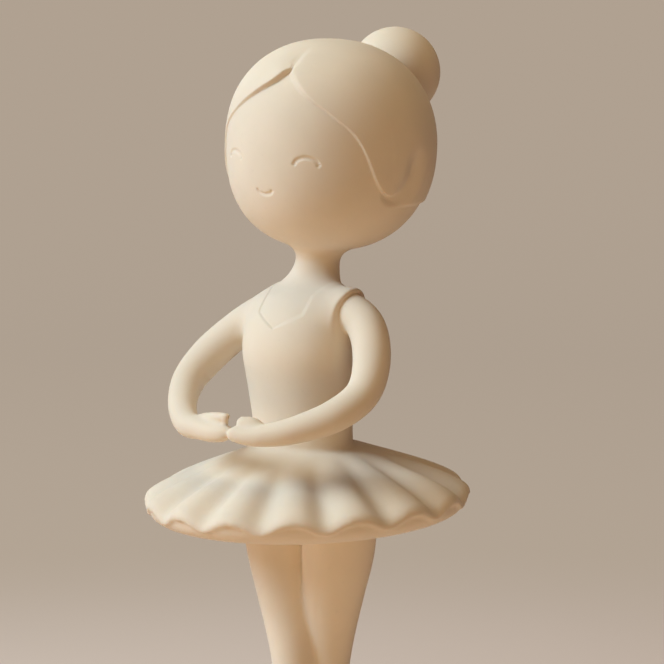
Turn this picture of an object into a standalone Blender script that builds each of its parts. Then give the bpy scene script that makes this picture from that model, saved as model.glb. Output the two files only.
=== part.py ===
"""A ballerina figurine: one cast figure in a low-armed pose, on a plain round base.

The figure faces -Y, its left hand is at +X, and the origin is the centre of the base's underside.
"""
import bpy
import bmesh
from math import atan2, asin, cos, degrees, pi, radians, sin
from mathutils import Matrix, Vector

# Driving dimensions, in metres
FIGURE_HEIGHT = 0.2058
BASE_DIAMETER = 0.066
BASE_HEIGHT = 0.008
BASE_EDGE_RADIUS = 0.0018
STANDING_GAP = 0.0003

# The figure's pose and proportions are written in shares of its own height
SHARES_IN_HEIGHT = 205.8
SHARE = FIGURE_HEIGHT / SHARES_IN_HEIGHT
SOLE_Z = BASE_HEIGHT + STANDING_GAP

# Head, hair and bun
HEAD_CENTRE = Vector((1.94, 6.25, 175.9))
HEAD_RADIUS = 26.1
HEAD_LEAN = 4
HEAD_SEGMENTS = 44
HAIR_THICKNESS = 0.75
PARTING_EXTRA = 0.45
NAPE_THICKNESS = 0.5
BUN_RADIUS = 11.4
BUN_DISTANCE = 30.8
BUN_LATITUDE = 37
BUN_SEGMENTS = 26
PARTING_AZIMUTH = 5
# Edge of the swept hair: degrees round from the parting, degrees up
HAIR_EDGE = [(0, 43), (7, 38), (15, 31.5), (26, 23), (37, 16.5), (45, 11.5), (50, 6.5), (56, -7.5),
             (64, -18.5), (71, -23.8), (77, -20), (84, -3), (96, 1), (180, -6)]
NAPE_LATITUDE = -27.5
NAPE_START = 71

# Closed eyes and smile, as grooves: centre azimuth, end latitude, half width, rise
FACE_GROOVES = [(-25, -8.5, 6.4, 5.0), (25, -8.5, 6.4, 5.2), (-0.7, -22.6, 5.6, -1.5)]
GROOVE_RADIUS = 0.45

# Neck and torso sections: front-back offset, height, half width, half depth
TORSO_SECTIONS = [(-0.8, 90.7, 14.5, 11.5), (-1.6, 95.7, 13.6, 10.8), (-2.2, 101.7, 13.0, 10.3),
                  (-2.8, 108.7, 13.3, 10.3), (-3.8, 116.7, 14.0, 10.6), (-4.7, 123.7, 14.7, 10.8),
                  (-4.6, 128.7, 14.7, 10.4), (-3.6, 133.7, 13.9, 9.4), (-1.7, 138.2, 11.5, 7.8),
                  (0.9, 141.7, 8.0, 6.4), (2.8, 144.9, 6.1, 5.7), (3.8, 148.2, 5.5, 5.5),
                  (4.4, 151.7, 5.9, 5.9), (5.0, 156.0, 6.4, 6.4)]
TORSO_SEGMENTS = 24

# Limbs, as points along their middle: x, y, height, radius
LEFT_ARM = [(8, -2.2, 136.6, 4.5), (14.2, -1.8, 135.4, 4.7), (20.4, -3.2, 131.4, 4.75),
            (25.6, -7.2, 124.1, 4.65), (27.5, -13.0, 116.9, 4.25), (24.1, -20.3, 112.2, 3.8),
            (16.8, -26.5, 109.2, 3.2), (10.5, -29.6, 107.7, 2.7), (5.5, -31.2, 107.2, 2.7),
            (1.8, -31.9, 107.3, 2.1), (0.1, -32.0, 107.5, 0.9)]
RIGHT_ARM = [(-8, -2.2, 135.4, 4.5), (-13.6, -1.8, 133.8, 4.7), (-20.2, -3.2, 129.4, 4.8),
             (-26.4, -7.0, 122.2, 4.7), (-29.0, -13.0, 115.2, 4.25), (-25.2, -20.5, 109.9, 3.75),
             (-17.4, -26.5, 107.6, 3.2), (-11.0, -29.4, 107.2, 2.8), (-5.5, -31.0, 107.1, 2.7),
             (-1.6, -31.6, 107.2, 2.1), (0.2, -31.6, 107.4, 0.9)]
LEFT_THUMB = [(9.6, -28.6, 108.6, 1.5), (6.6, -29.0, 110.3, 1.45), (3.9, -29.9, 110.9, 1.3),
              (2.2, -30.6, 110.6, 0.7)]
RIGHT_THUMB = [(-13.5, -26.8, 108.8, 1.5), (-9.5, -27.4, 110.9, 1.4), (-5.8, -28.8, 111.1, 1.3),
               (-3.6, -29.9, 110.5, 0.7)]
RIGHT_LEG = [(-9.6, 0.4, 85.7, 9.6), (-9.3, 0.4, 75.7, 9.2), (-7.1, -0.4, 65.7, 8.2),
             (-5.0, -1.3, 56.7, 7.0), (-3.2, -2.2, 48.7, 6.1), (-2.3, -2.9, 40.7, 5.4),
             (-1.8, -3.5, 31.0, 4.9), (-1.4, -4.0, 21.0, 4.4), (-1.0, -4.3, 11.0, 3.2),
             (-0.8, -4.4, 3.4, 3.2)]
LEFT_LEG = [(9.2, 0.6, 85.7, 9.6), (8.7, 0.8, 75.7, 9.2), (6.5, 1.8, 65.7, 8.1),
            (4.5, 3.1, 56.7, 6.9), (2.9, 4.2, 48.7, 6.0), (2.2, 4.4, 40.7, 5.4),
            (1.8, 4.5, 31.0, 4.9), (1.4, 4.5, 21.0, 4.4), (1.0, 4.5, 11.0, 3.2),
            (0.8, 4.5, 3.4, 3.2)]
# A slipper along its own middle line: distance from the ankle, height, radius
SLIPPER = [(-4.4, 2.6, 1.6), (-3.0, 3.1, 3.2), (0.5, 3.6, 4.1), (5.5, 3.0, 4.3), (10.5, 2.2, 3.8),
           (14.0, 1.7, 2.8), (15.8, 1.4, 1.2)]
TURNOUT = 58

# Tutu: radius and height, from the waist over the rim and back under to the hips
TUTU_CENTRE_Y = -0.9
TUTU_TOP = [(6, 102.0), (13, 101.1), (19, 99.3), (25, 97.1), (31, 94.4), (36, 91.3)]
TUTU_RIM = [(39.5, 88.3), (40.6, 86.4), (39.6, 84.9)]
TUTU_UNDER = [(36, 83.0), (29, 81.2), (14, 80.5)]
TUTU_PITCH = 1
FLUTES = 16
FLUTE_HEIGHT = 1.4
FLUTE_START = 14
COLUMNS_PER_FLUTE = 6

CLAY_COLOUR = (0.70, 0.55, 0.40, 1.0)
BASE_COLOUR = (0.66, 0.51, 0.37, 1.0)


def place(x, y, height):
    """A point given in shares of the figure's height, with its height above the soles."""
    return Vector((x, y, height)) * SHARE + Vector((0, 0, SOLE_Z))


def clear_scene():
    for old in list(bpy.data.objects):
        bpy.data.objects.remove(old)


def new_collection(name):
    collection = bpy.data.collections.new(name)
    bpy.context.scene.collection.children.link(collection)
    return collection


def new_object(name, bm, collection):
    """A mesh object from a bmesh, with its faces pointing out and smooth shading."""
    bmesh.ops.recalc_face_normals(bm, faces=bm.faces)
    mesh = bpy.data.meshes.new(name)
    bm.to_mesh(mesh)
    bm.free()
    mesh.shade_smooth()
    mesh.set_sharp_from_angle(angle=radians(40))
    shape = bpy.data.objects.new(name, mesh)
    collection.objects.link(shape)
    return shape


def matte(name, colour, roughness):
    material = bpy.data.materials.new(name)
    material.use_nodes = True
    shader = material.node_tree.nodes["Principled BSDF"]
    shader.inputs["Base Color"].default_value = colour
    shader.inputs["Roughness"].default_value = roughness
    shader.inputs["Metallic"].default_value = 0.0
    return material


def along(stations, x):
    """Straight interpolation through (x, value) stations."""
    for (x0, v0), (x1, v1) in zip(stations, stations[1:]):
        if x <= x1:
            return v0 + (v1 - v0) * (x - x0) / (x1 - x0)
    return stations[-1][1]


def smooth(start, end, x):
    t = min(max((x - start) / (end - start), 0.0), 1.0)
    return t * t * (3 - 2 * t)


def loft(name, rings, collection):
    """A closed solid through rings of equally many points."""
    bm = bmesh.new()
    rows = [[bm.verts.new(point) for point in ring] for ring in rings]
    for lower, upper in zip(rows, rows[1:]):
        for i in range(len(lower)):
            j = (i + 1) % len(lower)
            bm.faces.new((lower[i], lower[j], upper[j], upper[i]))
    bm.faces.new(rows[0])
    bm.faces.new(rows[-1])
    return new_object(name, bm, collection)


def tube(name, stations, collection, bevel_resolution=4, steps=2):
    """A limb: a smooth curve whose thickness follows its points."""
    curve = bpy.data.curves.new(name, "CURVE")
    curve.dimensions = "3D"
    curve.bevel_depth = SHARE
    curve.bevel_resolution = bevel_resolution
    curve.resolution_u = steps
    curve.use_fill_caps = True
    spline = curve.splines.new("BEZIER")
    spline.radius_interpolation = "CARDINAL"
    spline.bezier_points.add(len(stations) - 1)
    for point, (x, y, height, radius) in zip(spline.bezier_points, stations):
        point.co = place(x, y, height)
        point.radius = radius
        point.handle_left_type = "AUTO"
        point.handle_right_type = "AUTO"
    guide = bpy.data.objects.new(name + "_curve", curve)
    collection.objects.link(guide)
    evaluated = guide.evaluated_get(bpy.context.evaluated_depsgraph_get())
    mesh = bpy.data.meshes.new_from_object(evaluated)
    bm = bmesh.new()
    bm.from_mesh(mesh)
    bmesh.ops.remove_doubles(bm, verts=bm.verts, dist=0.00001)
    bpy.data.objects.remove(guide)
    bpy.data.meshes.remove(mesh)
    return new_object(name, bm, collection)


def head_radius(azimuth, latitude):
    """The head is a ball, a little squarer towards the cheeks than towards the crown."""
    front = 0.5 + 0.5 * cos(azimuth)
    power = 2.12 + front * (0.14 if latitude > 0 else 0.36)
    return HEAD_RADIUS / (abs(cos(latitude)) ** power + abs(sin(latitude)) ** power) ** (1 / power)


def head_place(azimuth, latitude, radius):
    """A point by its azimuth from the face's middle and its latitude, in degrees."""
    a, b = radians(azimuth), radians(latitude)
    direction = Vector((cos(b) * sin(a), -cos(b) * cos(a), sin(b)))
    leaning = Matrix.Rotation(radians(HEAD_LEAN), 3, "Y") @ direction
    return place(*(HEAD_CENTRE + leaning * radius))


def head_form(collection):
    """The ball of the head, whose rows are drawn to the hair's edges and step out there."""
    below, between, above = 11, 3, 12
    rows = below + between + above
    bm = bmesh.new()
    bmesh.ops.create_uvsphere(bm, u_segments=HEAD_SEGMENTS, v_segments=rows, radius=1)
    for vert in bm.verts:
        row = round((degrees(asin(max(-1, min(1, vert.co.z)))) + 90) / 180 * rows)
        turn = degrees(atan2(vert.co.x, -vert.co.y))
        side = abs(turn)
        top_edge = along(HAIR_EDGE, side)
        nape_edge = min(top_edge - 2.5, along([(0, 90), (NAPE_START, NAPE_LATITUDE - 1),
                                               (80, NAPE_LATITUDE), (180, NAPE_LATITUDE)], side))
        nape_step = 0.02 + (NAPE_THICKNESS - 0.02) * smooth(NAPE_START - 7, NAPE_START + 4, side)
        hair_step = 0.03 + HAIR_THICKNESS * (1 - smooth(78, 100, side))
        hair_step += PARTING_EXTRA * (1 - smooth(10, 60, side)) * (1 if turn < 0 else 0.3)
        if row <= below:
            latitude = -90 + (nape_edge + 90) * row / below
            extra = 0
        elif row == below + 1:
            latitude, extra = nape_edge + 0.7, nape_step
        elif row == below + 2:
            latitude, extra = (nape_edge + top_edge) / 2 + 0.4, nape_step
        elif row == below + 3:
            latitude, extra = top_edge, nape_step
        else:
            edge = top_edge + 0.9
            latitude = edge + (90 - edge) * (row - below - between - 1) / (above - 1)
            extra = nape_step + hair_step
        azimuth = turn + PARTING_AZIMUTH
        radius = head_radius(radians(azimuth), radians(latitude)) + extra
        vert.co = head_place(azimuth, latitude, radius)
    return new_object("head_form", bm, collection)


def bun_form(collection):
    centre = head_place(180, BUN_LATITUDE, BUN_DISTANCE)
    bm = bmesh.new()
    bmesh.ops.create_uvsphere(bm, u_segments=BUN_SEGMENTS, v_segments=BUN_SEGMENTS // 2,
                              radius=BUN_RADIUS * SHARE, matrix=Matrix.Translation(centre))
    return new_object("bun_form", bm, collection)


def face_grooves(collection):
    """Three thin bent rods that cut the closed eyes and the smile into the face."""
    origin = place(0, 0, 0)
    for number, (middle, ends, half_width, rise) in enumerate(FACE_GROOVES):
        stations = []
        for step in range(-3, 4):
            t = step / 3
            azimuth = middle + half_width * t
            latitude = ends + rise * (1 - t * t)
            depth = head_radius(radians(azimuth), radians(latitude))
            point = (head_place(azimuth, latitude, depth) - origin) / SHARE
            stations.append((*point, GROOVE_RADIUS))
        tube(f"face_groove_{number + 1}", stations, collection, bevel_resolution=1)


def torso(collection):
    rings = []
    for offset, height, half_width, half_depth in TORSO_SECTIONS:
        angles = [2 * pi * i / TORSO_SEGMENTS for i in range(TORSO_SEGMENTS)]
        rings.append([place(half_width * cos(a), offset + half_depth * sin(a), height) for a in angles])
    return loft("ballerina", rings, collection)


def tutu_form(collection):
    """The skirt: a shallow dome whose flutes grow towards the rim, over a smooth underside."""
    lean = Matrix.Rotation(radians(TUTU_PITCH), 3, "X")
    columns = FLUTES * COLUMNS_PER_FLUTE
    middle = Vector((0, TUTU_CENTRE_Y, TUTU_RIM[0][1]))
    rings = []
    for stations, share_of_flute in ((TUTU_TOP, 1.0), (TUTU_RIM, 1.0), (TUTU_UNDER, 0.0)):
        for radius, height in stations:
            depth = FLUTE_HEIGHT * share_of_flute * smooth(FLUTE_START, TUTU_RIM[0][0], radius)
            ring = []
            for i in range(columns):
                angle = 2 * pi * i / columns
                wave = -depth * cos(FLUTES * angle)
                out = radius + 0.3 * wave
                point = Vector((out * sin(angle), -out * cos(angle), height + wave - middle.z))
                ring.append(place(*(middle + lean @ point)))
            rings.append(ring)
    return loft("tutu_form", rings, collection)


def slipper_form(name, leg, turn, collection):
    """A soft slipper under the given leg, its toe turned out to the side."""
    ankle_x, ankle_y = leg[-1][:2]
    direction = (sin(radians(turn)), -cos(radians(turn)))
    stations = [(ankle_x + direction[0] * d, ankle_y + direction[1] * d, height, radius)
                for d, height, radius in SLIPPER]
    return tube(name, stations, collection)


def floor_cutter(collection):
    """Everything below the soles' plane, which leaves the slippers flat underneath."""
    depth = 12 * SHARE
    width = 60 * SHARE
    bm = bmesh.new()
    place_below = Matrix.Translation((0, 0, SOLE_Z - depth / 2))
    bmesh.ops.create_cube(bm, size=1, matrix=place_below @ Matrix.Diagonal((width, width, depth, 1)))
    return new_object("floor_cutter", bm, collection)


def as_helpers(collection):
    for helper in collection.objects:
        helper.hide_render = True
        helper.display_type = "WIRE"


def combine(target, operation, collection):
    modifier = target.modifiers.new(operation.capitalize(), "BOOLEAN")
    modifier.operation = operation
    modifier.operand_type = "COLLECTION"
    modifier.collection = collection
    modifier.solver = "EXACT"


def make_figure(parts, forms, cutters):
    """One solid: the torso joined with every other form, then cut by the grooves and the floor."""
    figure = torso(parts)
    head_form(forms)
    bun_form(forms)
    tutu_form(forms)
    tube("left_arm_form", LEFT_ARM, forms)
    tube("right_arm_form", RIGHT_ARM, forms)
    tube("left_thumb_form", LEFT_THUMB, forms, bevel_resolution=2)
    tube("right_thumb_form", RIGHT_THUMB, forms, bevel_resolution=2)
    tube("left_leg_form", LEFT_LEG, forms, bevel_resolution=6)
    tube("right_leg_form", RIGHT_LEG, forms, bevel_resolution=6)
    slipper_form("left_slipper_form", LEFT_LEG, TURNOUT, forms)
    slipper_form("right_slipper_form", RIGHT_LEG, -TURNOUT, forms)
    face_grooves(cutters)
    floor_cutter(cutters)
    combine(figure, "UNION", forms)
    combine(figure, "DIFFERENCE", cutters)
    figure.data.materials.append(matte("figure_clay", CLAY_COLOUR, 0.75))
    return figure


def make_base(parts):
    """The low round base: a disc with its upper edge rounded over."""
    bm = bmesh.new()
    bmesh.ops.create_cone(bm, cap_ends=True, segments=48, radius1=BASE_DIAMETER / 2,
                          radius2=BASE_DIAMETER / 2, depth=BASE_HEIGHT,
                          matrix=Matrix.Translation((0, 0, BASE_HEIGHT / 2)))
    top_edges = [edge for edge in bm.edges
                 if all(vert.co.z > BASE_HEIGHT * 0.75 for vert in edge.verts)]
    bmesh.ops.bevel(bm, geom=top_edges, offset=BASE_EDGE_RADIUS, segments=3, profile=0.5,
                    affect="EDGES")
    base = new_object("base", bm, parts)
    base.data.materials.append(matte("base_clay", BASE_COLOUR, 0.8))
    return base


def main():
    clear_scene()
    parts = new_collection("ballerina_figurine")
    forms = new_collection("joined_forms")
    cutters = new_collection("cutters")
    make_figure(parts, forms, cutters)
    make_base(parts)
    as_helpers(forms)
    as_helpers(cutters)


main()
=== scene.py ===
"""Ballerina figurine: the cast figure with its fine carving, the base it stands on, and the studio.

The figure is one fused piece. Rough forms are joined by a voxel remesh, and the skin is then
drawn onto a smooth description of the same figure, which holds the hair's edges, the closed
eyes, the smile, the neckline and the skirt's flutes.
"""
from math import atan2, cos, pi, radians, sin, tan

import bmesh
import bpy
import numpy as np
from bpy.props import FloatProperty, FloatVectorProperty, PointerProperty
from mathutils import Matrix, Vector


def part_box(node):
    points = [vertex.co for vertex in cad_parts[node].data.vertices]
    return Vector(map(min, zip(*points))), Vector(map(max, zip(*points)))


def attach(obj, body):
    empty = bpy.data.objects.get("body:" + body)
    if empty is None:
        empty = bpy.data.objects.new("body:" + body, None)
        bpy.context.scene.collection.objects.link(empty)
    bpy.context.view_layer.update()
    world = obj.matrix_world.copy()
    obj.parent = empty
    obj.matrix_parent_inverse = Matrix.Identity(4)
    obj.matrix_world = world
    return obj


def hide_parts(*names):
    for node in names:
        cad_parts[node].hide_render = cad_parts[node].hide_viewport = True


bl_info = {
    "name": "Ballerina figurine",
    "version": (1, 0, 0),
    "blender": (4, 5, 0),
    "location": "3D View > Sidebar > Figurine",
    "description": "Builds the carved ballerina, her base and a soft studio around them",
    "category": "Add Mesh",
}

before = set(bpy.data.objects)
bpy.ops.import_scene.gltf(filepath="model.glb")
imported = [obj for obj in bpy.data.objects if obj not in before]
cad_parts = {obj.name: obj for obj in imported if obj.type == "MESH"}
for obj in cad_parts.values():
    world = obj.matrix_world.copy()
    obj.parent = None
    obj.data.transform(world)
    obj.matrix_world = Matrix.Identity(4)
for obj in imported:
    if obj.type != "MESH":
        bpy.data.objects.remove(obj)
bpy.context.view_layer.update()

# The figure's points are shares of its height, with heights counted from the soles
SHARES_IN_HEIGHT = 205.8
FIGURE_LOW, FIGURE_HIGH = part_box("ballerina")
SOLE_Z = FIGURE_LOW[2]
SHARE = (FIGURE_HIGH[2] - FIGURE_LOW[2]) / SHARES_IN_HEIGHT
BASE_LOW, BASE_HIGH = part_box("base")

# Head
HEAD_CENTRE = np.array((1.94, 6.25, 175.55))
HEAD_RADIUS = 25.9
HEAD_LEAN = radians(4)
# How square the head is: 2 is round, and the rest is added towards the front
HEAD_POWER, CROWN_POWER, CHEEK_POWER = 2.12, 0.14, 0.36
BUN_LATITUDE = 35.9
BUN_DISTANCE = 31.1
BUN_RADIUS = 11.6

# Hair: each lock's edge as degrees round from the parting and degrees up, from the parting
# down to the tip in front of the ear and up again behind it
PARTING_AZIMUTH = 5
RIGHT_LOCK = [(0, 44.3), (2.5, 41.3), (8.6, 35.8), (16.5, 29.5), (27.5, 23.1), (36, 17.5),
              (42, 13.3), (47.3, 8.0), (52.4, -0.1), (56.2, -8.0), (59.4, -13.9), (62.3, -17.6),
              (65.2, -20.1), (68.3, -21.4), (71.4, -21.2), (74.6, -19.6), (77, -17), (79, -13.9),
              (80.4, -10.7), (81.2, -7.5), (81.8, -3.7), (82.4, -0.6), (83.2, 3.1), (84.5, 8)]
LEFT_LOCK = [(0, 44.3), (7.7, 36.3), (18, 29.8), (30.8, 22.0), (41.8, 14.8), (47.5, 10.8),
             (52.5, 6.0), (57, -0.5), (60.5, -7), (64.2, -13.5), (68, -19.5), (71.4, -23.8),
             (73.6, -24.6), (76.3, -22.8), (79, -20.4), (81.1, -17.4), (82.6, -14.2), (83.5, -11),
             (84, -7.6), (84.4, -4), (85, 0), (86, 8)]
NAPE_LATITUDE = -28.2
NAPE_START = 63.5
NAPE_CORNER = 6.0
NAPE_EDGE = (-0.6, 1.0)

# The lip of a lock: how thick it is at its tip, and how far in it sinks to the hair's own
# thickness. The spans are shares of the way along the edge from the parting.
TIP_THICKNESS = 1.05
LIP_FALL = 5
PARTING_SPAN = (0.01, 0.34)
TIP_SPAN = (0.5, 0.72)
BEHIND_SPAN = (0.88, 1.0)
# The edge's half width: wider where it rolls over by the parting, and in the hollow at the tip
ROLL_SPAN = (0.05, 0.24)
HOLLOW_SPAN = (0.72, 0.8)
HOLLOW_SOFTNESS = 2.8
# The hollow behind the tip: its depth as a share of the hair's thickness, and where it ends
RECESS_DEPTH = 1.2
RECESS_START, RECESS_WIDTH = 0.8, 6.8

# The crease of the parting: depth, width on the far and the near side, and the degrees up
# between which it comes in and fades out
CREASE_DEPTH = 0.62
CREASE_WIDTHS = (2.6, 0.8)
CREASE_IN, CREASE_OUT = (41, 46), (48, 70)
CREASE_TURN = 60

# Closed eyes and smile: centre azimuth, end latitude, half width, rise, groove depth
EYES = [(-26.2, -6.7, 6.8, 3.3, 0.5), (25.3, -6.5, 6.7, 3.6, 0.55)]
SMILE = [(-0.6, -22.7, 4.9, -1.7, 0.42)]
LINE_POINTS = 25
LINE_REACH = 7
LINE_BOW = 0.6

# Torso and neck sections: height, front-back offset, half width, half depth
TORSO = [(84, -0.4, 15.6, 12.4), (90.7, -0.8, 14.5, 11.5), (95.7, -1.6, 13.6, 10.8),
         (101.7, -2.2, 13.0, 10.3), (108.7, -2.8, 13.3, 10.3), (116.7, -3.8, 14.0, 10.6),
         (123.7, -4.7, 14.7, 10.8), (128.7, -4.6, 14.7, 10.4), (133.7, -3.6, 13.9, 9.4),
         (138.2, -1.7, 11.5, 7.8), (141.7, 0.9, 8.0, 6.4), (144.9, 2.8, 6.1, 5.7),
         (148.2, 3.8, 5.5, 5.5), (151.7, 4.4, 5.9, 5.9), (158, 5.0, 6.8, 6.8)]

# Limbs, as points along their middle: x, y, height, radius
LEFT_ARM = [(8, -2.2, 136.6, 4.5), (14.4, -1.8, 135.4, 4.65), (20.7, -3.2, 131.5, 4.75),
            (25.1, -7.2, 124.1, 4.6), (26.7, -13.0, 117.0, 4.2), (23.8, -20.3, 112.2, 3.95),
            (16.8, -26.5, 108.9, 3.3), (10.5, -29.8, 107.4, 2.75), (6.0, -31.3, 107.0, 2.25),
            (2.6, -32.2, 107.3, 1.8)]
RIGHT_ARM = [(-8, -2.2, 135.4, 4.5), (-13.6, -1.8, 133.3, 4.6), (-20.2, -3.2, 129.0, 4.65),
             (-26.8, -7.0, 122.3, 4.7), (-28.6, -13.0, 116.1, 4.2), (-24.2, -20.5, 110.9, 3.6),
             (-17.4, -26.3, 107.6, 3.2), (-11.0, -29.0, 107.2, 2.75), (-6.0, -30.4, 106.9, 2.5),
             (-2.6, -30.9, 107.0, 2.2), (-1.0, -31.0, 107.2, 1.8)]
LEFT_THUMB = [(8.8, -28.6, 107.8, 1.7), (6.2, -29.3, 109.4, 1.9), (3.7, -30.0, 109.8, 1.7)]
RIGHT_THUMB = [(-15.0, -26.0, 108.0, 1.5), (-10.5, -28.0, 109.6, 1.3), (-5.0, -30.0, 110.6, 1.2),
               (-1.0, -31.0, 110.9, 1.1)]
RIGHT_LEG = [(-9.6, 0.4, 85.7, 9.6), (-9.3, 0.4, 75.7, 9.2), (-7.1, -0.4, 65.7, 8.2),
             (-5.0, -1.3, 56.7, 7.0), (-3.2, -2.2, 48.7, 6.1), (-2.3, -2.9, 40.7, 5.4),
             (-1.8, -3.5, 31.0, 4.9), (-1.4, -4.0, 21.0, 4.4), (-1.0, -4.3, 11.0, 3.2),
             (-0.8, -4.4, 3.4, 3.2)]
LEFT_LEG = [(9.2, 0.6, 85.7, 9.6), (8.7, 0.8, 75.7, 9.2), (6.5, 1.8, 65.7, 8.1),
            (4.5, 3.1, 56.7, 6.9), (2.9, 4.2, 48.7, 6.0), (2.2, 4.4, 40.7, 5.4),
            (1.8, 4.5, 31.0, 4.9), (1.4, 4.5, 21.0, 4.4), (1.0, 4.5, 11.0, 3.2),
            (0.8, 4.5, 3.4, 3.2)]
SLIPPER = [(-3.0, 3.0, 3.1), (0.5, 3.5, 4.0), (5.5, 3.0, 4.2), (10.5, 2.3, 3.8), (13.8, 1.8, 2.7)]
TURNOUT = 58

# The near shoulder, cut off square round the arm so that the leotard's armhole shows
SHOULDER = [(3, -1.6, 134.0, 6.2), (8, -1.8, 135.2, 6.0), (13, -1.9, 135.6, 5.9),
            (18, -2.0, 134.7, 5.9)]
ARMHOLE_CENTRE = np.array((14.2, -2.0, 135.4))
ARMHOLE_AXIS = np.array((0.93, -0.05, -0.36))

# Leotard: where the neckline runs, front and back
NECKLINE_DIP = 131.1
NECKLINE_CORNER = (7.0, 134.8)
STRAP_EDGE = [(130, 7.0), (134.8, 7.0), (139.3, 7.3), (141.7, 8.6), (144.7, 11.0)]
# The neckline's step is crisp in the middle and softer by this much towards the near shoulder
STEP_WIDTH, STEP_SOFTENING = 0.22, 0.5

# Skirt: radius and height of its top, from the waist to the rim, and of its smooth underside
SKIRT_CENTRE_Y = -0.9
SKIRT_PIVOT_Z = 88.3
SKIRT_PITCH = radians(2)
SKIRT_ROLL = radians(0.8)
SKIRT_TOP = [(0, 102.5), (6, 101.9), (13, 100.9), (19, 98.9), (25, 96.5), (31, 93.9), (36, 91.5),
             (39.5, 89.4), (43, 86.6)]
SKIRT_UNDER = [(0, 81.3), (14, 81.3), (25, 81.5), (31, 81.9), (36, 83.1), (39, 84.6), (41, 86.2),
               (43, 88.5)]
SKIRT_RIM = 40.8
SKIRT_LAYER = 2.2
UNDERSKIRT_RIM = 39.9
UNDERSKIRT_GAP = 1.8
FLUTES = 16
FLUTE_START = 14
FLUTE_HARMONIC = 0.12
RIM_WAVE = 0.3
SPIN_STEPS = 96

# Fillets where one form meets the next, and the rounding of edges
FILLETS = {"neck": 3.6, "bun": 0.9, "near_shoulder": 4.0, "far_arm": 3.6, "far_thumb": 0.6,
           "near_thumb": 1.0, "near_arm": 0.3, "thighs": 0.7, "slipper": 1.4, "hips": 1.2,
           "waist": 1.2, "sole": 0.5, "neckline": 0.6, "armhole": 0.9, "skirt_rim": 1.6,
           "skirt_layer": 1.2, "bowl_rim": 1.5, "bowl": 2.0, "layers": 1.1}

# How far out from a limb its distance is worked out, the distance taken beyond, and the boxes
# that bound the other forms
FILLET_REACH = 6
FAR = 25.0
HEAD_BOX = (HEAD_CENTRE - 34, HEAD_CENTRE + 34)
TORSO_BOX = ((-22, -22, 78), (22, 22, 165))
SHOULDER_BOX = (ARMHOLE_CENTRE - 16, ARMHOLE_CENTRE + 14)
SKIRT_BOX = ((-48, -48, 74), (48, 48, 108))
# The least squared slope that a step onto the skin reckons with
LEAST_STEEP = 0.05
# Rounds of refining: how near an edge, and how near a line of the face, the mesh is split
BANDS = ((1.4, 1.9), (0.55, 1.1), (-1, 0.6))
# Where those edges lie: in and out of the head's radius, between these heights and this far
# from the middle on the chest, and this near to the armhole's centre
HEAD_SHELL = (-2, 3)
CHEST_LOW, CHEST_HIGH, CHEST_HALF = 127, 145, 11
ARMHOLE_REACH = 8.5

# Studio: lamps as degrees round from the camera, degrees up, distance, width, height aimed at
LAMPS = {"key_light": (-77, 36, 1.8, 1.1, 0.12), "top_light": (0, 85, 0.8, 0.6, 0.12),
         "left_bounce": (-100, -15, 1.8, 1.1, 0.12), "floor_bounce": (30, -75, 0.36, 1.0, 0.15),
         "front_bounce": (-5, -18, 1.8, 1.4, 0.12)}
AIM_HEIGHT, AIM_RIGHT = 0.1375, 0.00575
FLOOR_RADIUS, WALL_RADIUS, WALL_HEIGHT = 1.1, 1.5, 1.6


def smooth(start, end, x):
    t = np.clip((x - start) / (end - start), 0.0, 1.0)
    return t * t * (3 - 2 * t)


def melt(a, b, width):
    """Union of two distances whose meeting is filled with a soft fillet of about this width."""
    h = np.clip(0.5 + 0.5 * (b - a) / width, 0.0, 1.0)
    return b * (1 - h) + a * h - width * h * (1 - h)


def trim(a, b, width):
    """Intersection of two distances, with the meeting edge rounded over."""
    return -melt(-a, -b, width)


def through(stations, steps):
    """Points of a smooth Catmull-Rom curve through the stations, its ends carried straight on."""
    p = np.array([stations[0], *stations, stations[-1]], float)
    p[0] = 2 * p[1] - p[2]
    p[-1] = 2 * p[-2] - p[-3]
    t = np.linspace(0, 1, steps, endpoint=False)[:, None]
    rows = []
    for a, b, c, d in zip(p, p[1:], p[2:], p[3:]):
        rows.append(0.5 * (2 * b + (c - a) * t + (2 * a - 5 * b + 4 * c - d) * t ** 2
                           + (3 * b - a - 3 * c + d) * t ** 3))
    return np.concatenate([*rows, p[-2:-1]])


def inside_box(points, low, high, field):
    """The field's value at the points inside a box, and far away everywhere else."""
    near = np.all((points > low) & (points < high), axis=1)
    distance = np.full(len(points), FAR)
    if near.any():
        distance[near] = field(points[near])
    return distance


class Limb:
    """A tapering round limb along a smooth curve through its stations."""

    def __init__(self, stations, steps=10):
        line = through(stations, steps)
        self.middle, self.radius = line[:, :3], line[:, 3]
        reach = self.radius.max() + FILLET_REACH
        self.low, self.high = self.middle.min(0) - reach, self.middle.max(0) + reach
        self.span = np.diff(self.middle, axis=0)
        self.swell = np.diff(self.radius)

    def distance(self, points):
        return inside_box(points, self.low, self.high, self.near_distance)

    def near_distance(self, p):
        """From the nearest bead, on to the exact distance to the two links that meet there."""
        gap = (p ** 2).sum(1)[:, None] - 2 * p @ self.middle.T + (self.middle ** 2).sum(1)
        bead = np.argmin(np.sqrt(np.maximum(gap, 0)) - self.radius, axis=1)
        links = len(self.span)
        best = np.full(len(p), FAR)
        for link in (np.maximum(bead - 1, 0), np.minimum(bead, links - 1)):
            span = self.span[link]
            start = self.middle[link]
            along = ((p - start) * span).sum(1) / (span ** 2).sum(1)
            along = np.clip(along, 0, 1)
            reach = np.linalg.norm(p - start - along[:, None] * span, axis=1)
            best = np.minimum(best, reach - self.radius[link] - along * self.swell[link])
        return best


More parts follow.
